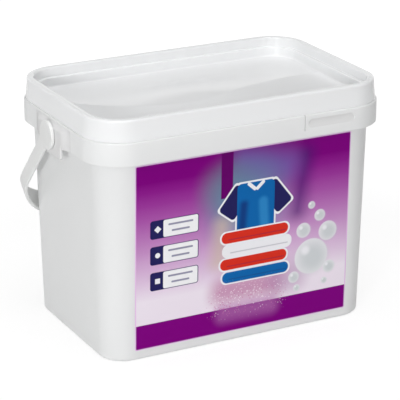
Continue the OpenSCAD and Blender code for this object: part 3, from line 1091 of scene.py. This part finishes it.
@dataclass
class TubShell:
    """Tub with its collar, finger scoop, tear slit, ears and pivot holes."""

    form: TubForm
    finish: MouldedPlastic
    scoop_length: float = 43.0
    scoop_height: float = 7.2
    scoop_depth: float = 1.5
    scoop_x: float = 74.0
    scoop_drop: float = 3.7
    slit_width: float = 0.6
    slit_height: float = 13.0
    slit_gap: float = 3.0
    slit_past: float = 0.2
    ear_thickness: float = 2.4
    ear_width: float = 41.0
    ear_drop: float = 9.8
    ear_round: float = 3.0
    ear_run: float = 13.0
    ear_rise: float = 4.5
    ear_edge: float = 0.6
    bore: float = 5.1
    hem: float = 0.7
    fillet: float = 0.4

    def section(self) -> list[Point2]:
        """Section of wall, collar and rim, from the underside round to the floor."""
        form = self.form
        channel_out = form.wall_at(0) - form.base_round - form.channel_margin
        channel_in = channel_out - form.channel_width
        depth = form.channel_depth
        skirt = form.collar - form.collar_wall
        flare = form.wall_height + form.collar_height / 2
        inner_round = form.base_round - form.wall / 2
        rim_in = form.rim - form.wall / 2
        top = form.rim_top - form.wall / 2
        outer = [(0, 0), (channel_in, 0), (channel_in + depth, depth), (channel_out - depth, depth),
                 (channel_out, 0)]
        outer += arc((form.wall_at(0) - form.base_round, form.base_round), form.base_round, -90, 0, 8)
        outer += [(form.wall_at(flare), flare), (form.rim, form.shelf), (skirt, form.shelf)]
        outer += arc((skirt + self.hem, form.wall_height + self.hem), self.hem, 180, 270, 4)
        outer += arc((form.collar - self.hem, form.wall_height + self.hem), self.hem, -90, 0, 5)
        outer += arc((form.collar - form.collar_round, form.collar_top - form.collar_round),
                     form.collar_round, 0, 90, 7)
        outer += arc((form.rim + self.fillet, form.collar_top + self.fillet), self.fillet, 270, 180, 3)
        outer += arc((form.rim, form.rim_top - form.bead_drop), form.bead, -90, 90, 6)
        outer += arc((rim_in, top), form.wall / 2, 0, 180, 8)
        inner = [(form.rim - form.wall, form.shelf), (form.wall_at(flare) - form.wall, flare)]
        inner += arc((form.wall_at(form.floor) - form.wall - inner_round, form.floor + inner_round),
                     inner_round, 0, -90, 8)
        return outer + inner + [(0, form.floor)]

    def ear_outline(self) -> list[Point2]:
        """Outline in Y and Z of the plate that hangs below the collar."""
        form = self.form
        foot = form.wall_height - self.ear_drop
        half = self.ear_width / 2
        corner = self.ear_round
        head = form.collar_top - form.collar_round - self.ear_rise
        right = arc((half - corner, foot + corner), corner, -90, 0) + [(half, head)]
        return right + [(-y, z) for y, z in reversed(right)]

    def swelling(self) -> list[list[Point3]]:
        """Sections across the swelling of the right end's collar, from front to back."""
        form = self.form
        face = form.ear_face - form.ear_out
        inside = face - form.collar_wall / 2
        top = form.collar_top - form.collar_round
        half = self.ear_width / 2
        across, up = 10, 6
        outer = [(-half - self.ear_run * (1 - i / across), i / across) for i in range(across + 1)]
        rings = []
        for y, share in outer + [(-y, share) for y, share in reversed(outer)]:
            out = form.ear_out * ease(share)
            section = arc((face + out - self.hem, form.wall_height + self.hem), self.hem, -90, 0, 4)
            section += [(face + out * ease(1 - i / up), top - self.ear_rise * (1 - i / up))
                        for i in range(up + 1)]
            section += [(inside, top), (inside, form.wall_height)]
            rings.append([(x, y, z) for x, z in section])
        return rings

    def add_ears(self, item: bpy.types.Object) -> None:
        """Joins an ear to each end of the collar: a swelling and the plate that hangs from it.

        Args:
            item: The tub so far.
        """
        to_end = Matrix(((0, 0, 1, 0), (1, 0, 0, 0), (0, 1, 0, 0), (0, 0, 0, 1)))
        rings = self.swelling()
        for side in (1, -1):
            start = self.form.ear_face - (self.ear_thickness if side > 0 else 0)
            place = Matrix.Translation((side * start, 0, 0)) @ to_end
            turned = [[(side * x, y, z) for x, y, z in ring] for ring in rings]
            combine(item, loft("ear_swelling", turned), Blend.JOIN)
            plate = rounded_prism("ear", self.ear_outline(), self.ear_thickness, self.ear_edge, place)
            combine(item, plate, Blend.JOIN)

    def cut_bores(self, item: bpy.types.Object) -> None:
        """Cuts the pivot hole through each ear."""
        form = self.form
        ends = (form.skirt_face - 1, form.ear_face + 1)
        for side in (-1, 1):
            tool = lathe_x("bore", [(ends[0], self.bore), (ends[1], self.bore)], side, form.pivot, 64)
            combine(item, tool, Blend.CUT)

    def cut_front(self, item: bpy.types.Object) -> None:
        """Cuts the finger scoop and the tear slit into the front of the collar.

        Args:
            item: The tub so far.
        """
        form = self.form
        face = -form.core[1] / 2 - form.collar
        slope = math.atan(self.scoop_depth / self.scoop_height)
        scoop_foot = form.collar_top - self.scoop_drop - self.scoop_height
        place = (Matrix.Translation((self.scoop_x, face, scoop_foot))
                 @ Matrix.Rotation(math.pi / 2 - slope, 4, "X"))
        outline = stadium(self.scoop_length, self.scoop_height)
        combine(item, rounded_prism("scoop", outline, 2 * form.collar_wall, 0, place), Blend.CUT)
        left = self.scoop_x - self.scoop_length / 2 - self.slit_gap - self.slit_width
        foot = form.collar_top - self.slit_height
        slit = [(left, foot), (left + self.slit_width, foot),
                (left + self.slit_width, form.collar_top + 1), (left, form.collar_top + 1)]
        behind = face + form.collar_wall + self.slit_past
        upright = Matrix.Translation((0, behind, 0)) @ Matrix.Rotation(math.pi / 2, 4, "X")
        combine(item, rounded_prism("slit", slit, form.collar_wall + 1, 0, upright), Blend.CUT)

    def build(self, sweep: SectionSweep) -> bpy.types.Object:
        """Builds and dresses the tub.

        Args:
            sweep: The shared sweep tree.

        Returns:
            The tub's piece.
        """
        form = self.form
        material = self.finish.build()
        item = sweep.shell("tub_shell", self.section(), form.settings(form.floor, 0.0, 0.0, material))
        self.add_ears(item)
        self.cut_bores(item)
        self.cut_front(item)
        tidy_shell(item)
        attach(item, Body.TUB.value)
        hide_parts("tub")
        return item


@dataclass
class PressOnLid:
    """Lid with a flared skirt, a channel over the rim, a ledge and a crowned panel."""

    form: TubForm
    finish: MouldedPlastic
    top_round: float = 1.8
    well_round: float = 2.0
    hem: float = 0.2
    foot_drop: float = 0.25
    fillet: float = 0.4
    ledge_round: float = 0.6
    flare_steps: int = 10
    flare_power: float = 1.7

    def section(self) -> list[Point2]:
        """Section from the panel's underside, out over the channel and the skirt, back to its top."""
        form = self.form
        wall = form.lid_wall
        plug = form.rim - form.wall - form.lid_fit
        recess = plug - wall
        well = recess - form.ledge_width
        panel = form.lid_top - form.recess_depth
        ledge = form.lid_top - form.ledge_depth
        edge = form.lid_edge
        foot = edge + form.lid_flare
        under = [(0, panel - wall), (well - wall / 2, panel - wall), (well + wall, panel),
                 (well + wall, ledge - wall), (plug, ledge - wall), (plug, form.lid_top - wall),
                 (edge - wall, form.lid_top - wall), (foot - wall, form.lid_foot + self.hem)]
        low = form.lid_foot - self.foot_drop
        under += arc((foot - wall + self.hem, low + self.hem), self.hem, 180, 270, 3)
        skirt = arc((foot - self.hem, low + self.hem), self.hem, -90, 0, 4)
        rise = form.skirt_height - self.top_round
        shares = [i / self.flare_steps for i in range(1, self.flare_steps)]
        skirt += [(edge + form.lid_flare * (1 - share) ** self.flare_power,
                   form.lid_foot + self.hem + (rise - self.hem) * share) for share in shares]
        over = arc((edge - self.top_round, form.lid_top - self.top_round), self.top_round, 0, 90, 8)
        over += arc((recess + wall, form.lid_top - wall), wall, 90, 180, 7)
        over += arc((recess - self.fillet, ledge + self.fillet), self.fillet, 0, -90, 3)
        over += arc((well + self.ledge_round, ledge - self.ledge_round), self.ledge_round, 90, 180, 4)
        over += arc((well - self.well_round, panel + self.well_round), self.well_round, 0, -90, 6)
        return under + skirt + over + [(0, panel)]

    def build(self, sweep: SectionSweep) -> bpy.types.Object:
        """Builds and dresses the lid.

        Args:
            sweep: The shared sweep tree.

        Returns:
            The lid's piece.
        """
        form = self.form
        panel = form.lid_top - form.recess_depth
        settings = form.settings(panel, panel - form.lid_wall, form.crown, self.finish.build())
        item = sweep.shell("press_on_lid", self.section(), settings)
        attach(item, Body.LID.value)
        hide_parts("lid")
        return item


@dataclass
class BailHandle:
    """Moulded strap with round hubs, narrow arms, wide bends and grip, and a pin at each end."""

    form: TubForm
    finish: MouldedPlastic
    strap: float = 2.8
    hub: float = 12.0
    arm_width: float = 12.0
    grip_width: float = 20.0
    reach: float = 131.0
    bend: float = 65.0
    fit: float = 0.5
    edge: float = 0.8
    grip_start: float = 0.1
    grip_full: float = 0.75
    pin: float = 5.0
    pin_lip: float = 1.2
    head: float = 1.6
    head_fit: float = 0.3
    axis_gap: float = 0.05
    nose: float = 0.4
    chamfer: float = 0.2

    @property
    def side_x(self) -> float:
        """Distance of an arm's middle from the middle plane."""
        return self.form.ear_face + self.fit + self.strap / 2

    @property
    def arm(self) -> float:
        """Length of an arm from the pivot to the bend."""
        return self.reach - self.bend

    def hang(self) -> float:
        """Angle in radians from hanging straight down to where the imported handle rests."""
        corner = Vector((self.grip_width / 2, self.reach + self.strap / 2))
        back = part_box("bail_handle")[1].y / MM
        return math.asin(back / corner.length) - math.atan2(corner.x, corner.y)

    def half_width(self, depth: float) -> float:
        """Finds half the strap's width, from the round hub over the arm to the grip.

        Args:
            depth: Distance below the pivot, below zero above it.

        Returns:
            Half the width.
        """
        arm, grip = self.arm_width / 2, self.grip_width / 2
        start = self.arm + self.bend * self.grip_start
        full = self.arm + self.bend * self.grip_full
        share = min(1.0, max(0.0, (depth - start) / (full - start)))
        hub = math.sqrt(max(0.0, self.hub ** 2 - depth ** 2))
        return max(hub, arm + (grip - arm) * share if depth > 0 else 0.0)

    def stations(self) -> list[tuple[Point2, Point2]]:
        """Points of the right half's middle line in X and Z, each with its outward direction."""
        tops = [self.hub * math.cos(math.radians(6 + 84 * i / 14)) for i in range(15)]
        tops += [-self.hub * math.sin(math.radians(a)) for a in (12, 24, 36, 44, 50, 54, 57)]
        tops += [-self.arm * share for share in (0.25, 0.4, 0.6, 0.8, 0.95)]
        rows = [((self.side_x, z), (1.0, 0.0)) for z in tops]
        turn_x = self.side_x - self.bend
        for i in range(33):
            angle = math.radians(-90 * i / 32)
            way = (math.cos(angle), math.sin(angle))
            rows.append(((turn_x + self.bend * way[0], -self.arm + self.bend * way[1]), way))
        rows += [((turn_x * (1 - i / 8), -self.reach), (0.0, -1.0)) for i in range(1, 9)]
        return rows

    def ring(self, place: Point2, way: Point2) -> list[Point3]:
        """Rounded section of the strap at one station.

        Args:
            place: Point of the middle line in X and Z.
            way: Outward direction there.

        Returns:
            The section's points in the strap's own frame.
        """
        half = self.half_width(-place[1])
        thick = self.strap / 2
        edge = min(self.edge, half * 0.45)
        outline = []
        for side_t, side_y, start in ((1, 1, 0), (-1, 1, 90), (-1, -1, 180), (1, -1, 270)):
            outline += arc((side_t * (thick - edge), side_y * (half - edge)), edge, start, start + 90, 4)
        return [(place[0] + way[0] * t, y, place[1] + way[1] * t) for t, y in outline]

    def pin_profile(self) -> list[Point2]:
        """Pin with its snap head, from the inner end to the strap."""
        tip = self.form.skirt_face - self.head_fit
        root = self.side_x - self.strap / 2 + self.chamfer
        end = tip - self.head
        lip = self.pin + self.pin_lip
        return [(end, self.axis_gap), (end, self.pin - self.nose), (end + self.chamfer, self.pin),
                (tip - self.chamfer, lip), (tip, lip - self.chamfer), (tip, self.pin),
                (root, self.pin), (root, self.axis_gap)]

    def build(self) -> bpy.types.Object:
        """Builds the handle, dresses it and leans it on the back wall."""
        right = self.stations()
        left = [((-x, z), (-way_x, way_z)) for (x, z), (way_x, way_z) in reversed(right[:-1])]
        item = loft("bail_strap", [self.ring(place, way) for place, way in right + left])
        tidy_shell(item)
        for side in (-1, 1):
            combine(item, lathe_x("pin", self.pin_profile(), side, 0.0), Blend.JOIN)
        tidy_shell(item)
        lean = Matrix.Rotation(self.hang(), 4, "X")
        item.data.transform(Matrix.Translation((0, 0, self.form.pivot * MM)) @ lean)
        item.data.materials.append(self.finish.build())
        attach(item, Body.HANDLE.value)
        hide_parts("bail_handle")
        return item


@dataclass
class SachetPile:
    """Sealed pillow pouches of powder, one where each packed sachet lies."""

    finish: SachetFilm
    count: int = 50
    length: float = 54.0
    width: float = 43.0
    thickness: float = 26.0
    seam: float = 4.0
    seam_thickness: float = 0.8
    corner: float = 6.0
    turn: float = 1.2
    turn_step: float = 137.0
    around: int = 56
    rings: int = 9
    looks: int = 3
    fill_spread: float = 0.015
    seed: int = 7
    dome: float = 2.6
    dome_edge: float = 0.62
    pucker: float = 0.22
    waves: int = 9
    ripples: int = 17
    ripple: float = 0.6

    def outline(self, half_x: float, half_y: float, corner: float) -> list[Point2]:
        """Samples a rounded rectangle at even angles of its corners and even steps of its sides.

        Args:
            half_x: Half its length.
            half_y: Half its width.
            corner: Radius of its corners.

        Returns:
            Its points, anticlockwise.
        """
        points = []
        per_side = self.around // 4
        for quarter in range(4):
            sign_x, sign_y = ((1, 1), (-1, 1), (-1, -1), (1, -1))[quarter]
            centre = (sign_x * (half_x - corner), sign_y * (half_y - corner))
            curve = arc(centre, corner, 90 * quarter, 90 * quarter + 90, 4)
            points += curve
            nx, ny = ((-1, 1), (-1, -1), (1, -1), (1, 1))[quarter]
            following = arc((nx * (half_x - corner), ny * (half_y - corner)), corner,
                            90 * quarter + 90, 90 * quarter + 180, 4)[0]
            straight = per_side - len(curve)
            points += [between(curve[-1], following, (i + 1) / (straight + 1)) for i in range(straight)]
        return points

    def pouch(self, look: int) -> bpy.types.Object:
        """One pouch with soft puckers at its seam.

        Args:
            look: Number of the variant, which sets where its puckers lie.

        Returns:
            The closed pouch, centred on the origin.
        """
        rim = self.outline(self.length / 2, self.width / 2, self.corner)
        fill = self.outline(self.length / 2 - self.seam, self.width / 2 - self.seam, self.corner * 0.6)
        half_seam = self.seam_thickness / 2
        rise = self.thickness / 2 - half_seam
        rows = []
        for side in (1, -1):
            for ring in range(self.rings):
                share = 1 - ring / self.rings
                row = []
                for i, (x, y) in enumerate(fill):
                    turn = 2 * math.pi * i / self.around
                    wave = math.cos(turn * (self.waves + look) + 2.4 * look + side)
                    wave += self.ripple * math.cos(turn * (self.ripples - look) + 1.3 * look)
                    swell = max(0.0, 1 - share ** self.dome) ** self.dome_edge
                    pucker = 1 - self.pucker * (1 + wave) * share ** 3 * (1 - share)
                    row.append((x * share, y * share, side * (half_seam + rise * swell * pucker)))
                rows.append(row)
        edge = [[(x, y, level) for x, y in rim] for level in (half_seam, -half_seam)]
        top, bottom = rows[:self.rings], rows[self.rings:]
        loops = [*reversed(top), edge[0], edge[1], *bottom]
        item = loft(f"pouch_{look}", loops)
        tidy_shell(item, crease=50)
        reach_x = self.length / 2 - self.seam - 0.1
        reach_y = self.width / 2 - self.seam - 0.1
        mask = item.data.attributes.new("seam", "FLOAT", "POINT")
        mask.data.foreach_set("value", [
            1.0 if abs(v.co.x) > reach_x * MM or abs(v.co.y) > reach_y * MM else 0.0
            for v in item.data.vertices])
        item.hide_render = True
        return item

    def tree(self) -> bpy.types.NodeTree:
        """Geometry Nodes tree that lays a pouch on every point, turned by the point's own angle."""
        inputs = [("Places", GEOMETRY, None)]
        inputs += [(f"Pouch {look}", "NodeSocketObject", None) for look in range(self.looks)]
        inputs += [("Fill Spread", FLOAT, 0.015), ("Seed", WHOLE, 7), ("Material", MATERIAL, None)]
        tree, sheet, given, result = new_group("pile_of_pouches", "GeometryNodeTree", inputs,
                                               [("Pile", GEOMETRY)])
        gather = sheet.add("GeometryNodeGeometryToInstance")
        for look in reversed(range(self.looks)):
            info = sheet.add("GeometryNodeObjectInfo", {"Object": given[f"Pouch {look}"]})
            tree.links.new(info.outputs["Geometry"], gather.inputs[0])
        turn = sheet.add("GeometryNodeInputNamedAttribute", {"Name": "turn"}, data_type="FLOAT").outputs[0]
        pick = sheet.math("MODULO", sheet.add("GeometryNodeInputIndex").outputs[0], float(self.looks))
        low = sheet.math("SUBTRACT", 1.0, given["Fill Spread"])
        fill = sheet.add("FunctionNodeRandomValue", {2: low, 3: 1.0, "Seed": given["Seed"]},
                         data_type="FLOAT")
        scale = sheet.add("ShaderNodeCombineXYZ", {"X": 1.0, "Y": 1.0, "Z": fill.outputs[1]}).outputs[0]
        angle = sheet.add("ShaderNodeCombineXYZ", {"Z": turn}).outputs[0]
        laid = sheet.add("GeometryNodeInstanceOnPoints", {
            "Points": given["Places"], "Instance": gather.outputs[0], "Pick Instance": True,
            "Instance Index": pick, "Rotation": angle, "Scale": scale})
        real = sheet.add("GeometryNodeRealizeInstances", {"Geometry": laid.outputs[0]})
        dressed = sheet.add("GeometryNodeSetMaterial", {
            "Geometry": real.outputs[0], "Material": given["Material"]})
        tree.links.new(dressed.outputs[0], result.inputs[0])
        return tree

    def build(self) -> bpy.types.Object:
        """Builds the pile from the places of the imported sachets."""
        names = [f"sachet_{i + 1:02d}" for i in range(self.count)]
        boxes = [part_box(name) for name in names]
        centres = [tuple((low + high) / 2 / MM) for low, high in boxes]
        item = make_object("sachet_pile", make_mesh("sachet_pile", centres))
        turns = item.data.attributes.new("turn", "FLOAT", "POINT")
        turns.data.foreach_set("value", [
            math.radians(self.turn * math.sin(math.radians(self.turn_step * i))) for i in range(self.count)])
        pouches = [self.pouch(look) for look in range(self.looks)]
        settings = {f"Pouch {look}": pouch for look, pouch in enumerate(pouches)}
        settings |= {"Material": self.finish.build(), "Fill Spread": self.fill_spread, "Seed": self.seed}
        run_tree(item, self.tree(), settings)
        for pouch in pouches:
            bpy.data.objects.remove(pouch)
        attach(item, Body.TUB.value)
        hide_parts(*names)
        return item


@dataclass
class FrontLabel:
    """Printed film on the front wall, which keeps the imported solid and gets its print."""

    finish: LabelFilm

    def dress(self) -> bpy.types.Object:
        """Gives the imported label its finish."""
        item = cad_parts["front_label"]
        item.data.materials[0] = self.finish.build()
        return item


@dataclass
class Lamp:
    """Soft round lamp aimed at the tub.

    The level is how bright it makes a white surface that faces it.
    """

    name: str
    azimuth: float
    elevation: float
    distance: float
    size: float
    level: float

    def build(self, target: Vector) -> bpy.types.Object:
        """Places the lamp round a point and aims it there.

        Args:
            target: The point that the lamp lights.

        Returns:
            The lamp.
        """
        light = bpy.data.lights.new(self.name, "AREA")
        light.shape = "DISK"
        light.size = self.size
        light.energy = self.level * (math.pi * self.distance) ** 2
        item = bpy.data.objects.new(self.name, light)
        bpy.context.scene.collection.objects.link(item)
        back = direction(self.azimuth, self.elevation)
        item.location = target + back * self.distance
        item.rotation_euler = (-back).to_track_quat("-Z", "Y").to_euler()
        return item


def direction(azimuth: float, elevation: float) -> Vector:
    """Unit vector towards a viewer; azimuth 0 stands in front and grows to the right.

    Args:
        azimuth: Degrees round the object.
        elevation: Degrees above the horizon.

    Returns:
        The vector from the object to the viewer.
    """
    a, e = math.radians(azimuth), math.radians(elevation)
    return Vector((math.sin(a) * math.cos(e), -math.cos(a) * math.cos(e), math.sin(e)))


@dataclass
class Studio:
    """Pale floor, white surroundings, soft lamps and the camera at the photograph's place."""

    azimuth: float = -27.5
    elevation: float = 20.0
    distance: float = 1.6641
    lens: float = 180.0
    target: Vector = field(default_factory=lambda: Vector((-0.0002, 0.0, 0.0969)))
    sky: float = 0.285
    floor_tone: Colour = (0.82, 0.82, 0.82)
    floor_white: float = 0.75
    floor_far_white: float = 0.893
    floor_near: float = 0.25
    floor_far: float = 0.5
    floor_glow: float = 1.125
    high_sky: float = 0.14
    low_edge: float = 0.36
    high_edge: float = 0.46
    floor_size: float = 8.0
    lamps: tuple[Lamp, ...] = (
        Lamp("key_lamp", -45.0, 12.0, 2.4, 0.5, 0.37),
        Lamp("top_lamp", 0.0, 82.0, 2.0, 1.4, 0.41),
        Lamp("front_lamp", -35.0, 40.0, 2.2, 0.9, 0.1),
    )

    def camera(self) -> None:
        """Sets up the camera."""
        data = bpy.data.cameras.new("studio_camera")
        data.lens = self.lens
        data.sensor_width = 36.0
        item = bpy.data.objects.new("studio_camera", data)
        bpy.context.scene.collection.objects.link(item)
        back = direction(self.azimuth, self.elevation)
        item.location = self.target + back * self.distance
        item.rotation_euler = (-back).to_track_quat("-Z", "Y").to_euler()
        bpy.context.scene.camera = item

    @staticmethod
    def _seen(sheet: NodeSheet) -> bpy.types.NodeSocket:
        """1 for rays of the camera, of reflections and through glass; 0 for light."""
        path = sheet.add("ShaderNodeLightPath").outputs
        seen = sheet.math("MAXIMUM", path["Is Camera Ray"], path["Is Glossy Ray"])
        return sheet.math("MAXIMUM", seen, path["Is Transmission Ray"])

    def floor(self) -> None:
        """Lays the floor: nearly white to the eye, with the object's shadow kept."""
        half = self.floor_size / 2 / MM
        corners = [(-half, -half, 0), (half, -half, 0), (half, half, 0), (-half, half, 0)]
        item = make_object("studio_floor", make_mesh("studio_floor", corners, [(0, 1, 2, 3)]))
        material, sheet, shader = start_material("pale_floor")
        shader.inputs["Base Color"].default_value = (*self.floor_tone, 1.0)
        shader.inputs["Roughness"].default_value = 0.9
        shader.inputs["Specular IOR Level"].default_value = 0.0
        glow = sheet.add("ShaderNodeEmission", {"Color": (1.0, 1.0, 1.0), "Strength": self.floor_glow})
        away = sheet.add("ShaderNodeVectorMath", {0: sheet.add("ShaderNodeTexCoord").outputs["Object"]},
                         operation="LENGTH").outputs["Value"]
        white = sheet.ramp(away, self.floor_near, self.floor_far, self.floor_white, self.floor_far_white)
        share = sheet.math("MULTIPLY", self._seen(sheet), white)
        mixed = sheet.add("ShaderNodeMixShader", {0: share, 1: shader.outputs[0], 2: glow.outputs[0]})
        output = material.node_tree.nodes["Material Output"]
        sheet.tree.links.new(mixed.outputs[0], output.inputs["Surface"])
        item.data.materials.append(material)

    def surroundings(self) -> None:
        """Fills the world with soft light: plain white to the camera, darker above in reflections."""
        world = bpy.data.worlds.new("studio_world")
        world.use_nodes = True
        bpy.context.scene.world = world
        sheet = NodeSheet(world.node_tree)
        background = world.node_tree.nodes["Background"]
        background.inputs["Color"].default_value = (1.0, 1.0, 1.0, 1.0)
        way = sheet.add("ShaderNodeTexCoord").outputs["Generated"]
        rise = sheet.add("ShaderNodeSeparateXYZ", {0: way}).outputs["Z"]
        mirrored = sheet.ramp(rise, self.low_edge, self.high_edge, 1.0, self.high_sky)
        path = sheet.add("ShaderNodeLightPath").outputs
        strength = sheet.mix_value(path["Is Glossy Ray"], self.sky, mirrored)
        direct = sheet.math("MAXIMUM", path["Is Camera Ray"], path["Is Transmission Ray"])
        strength = sheet.mix_value(direct, strength, 1.0)
        sheet.tree.links.new(strength, background.inputs["Strength"])

    def build(self) -> None:
        """Builds the whole studio."""
        self.camera()
        self.floor()
        self.surroundings()
        for lamp in self.lamps:
            lamp.build(self.target)
        bpy.context.scene.view_settings.view_transform = "Standard"


def report(item: bpy.types.Object) -> None:
    """Logs the name and the number of faces of a piece."""
    LOG.info("%s: %d faces", item.name, len(item.data.polygons))


def main() -> None:
    """Builds every sub-assembly in order and logs it."""
    logging.basicConfig(level=logging.INFO, format="%(name)s: %(message)s")
    form = TubForm()
    sweep = SectionSweep()
    tub_white = MouldedPlastic("tub_polypropylene", ink(238, 239, 239))
    lid_white = PanelPlastic(
        "lid_polypropylene", ink(245, 246, 247), gloss_low=0.13, gloss_high=0.2, specular=0.5)
    handle_white = MouldedPlastic("handle_polypropylene", ink(236, 237, 236), drift=0.008)
    Studio().build()
    report(TubShell(form, tub_white).build(sweep))
    report(PressOnLid(form, lid_white).build(sweep))
    report(BailHandle(form, handle_white).build())
    report(FrontLabel(LabelFilm()).dress())
    report(SachetPile(SachetFilm()).build())


if __name__ == "__main__":
    main()
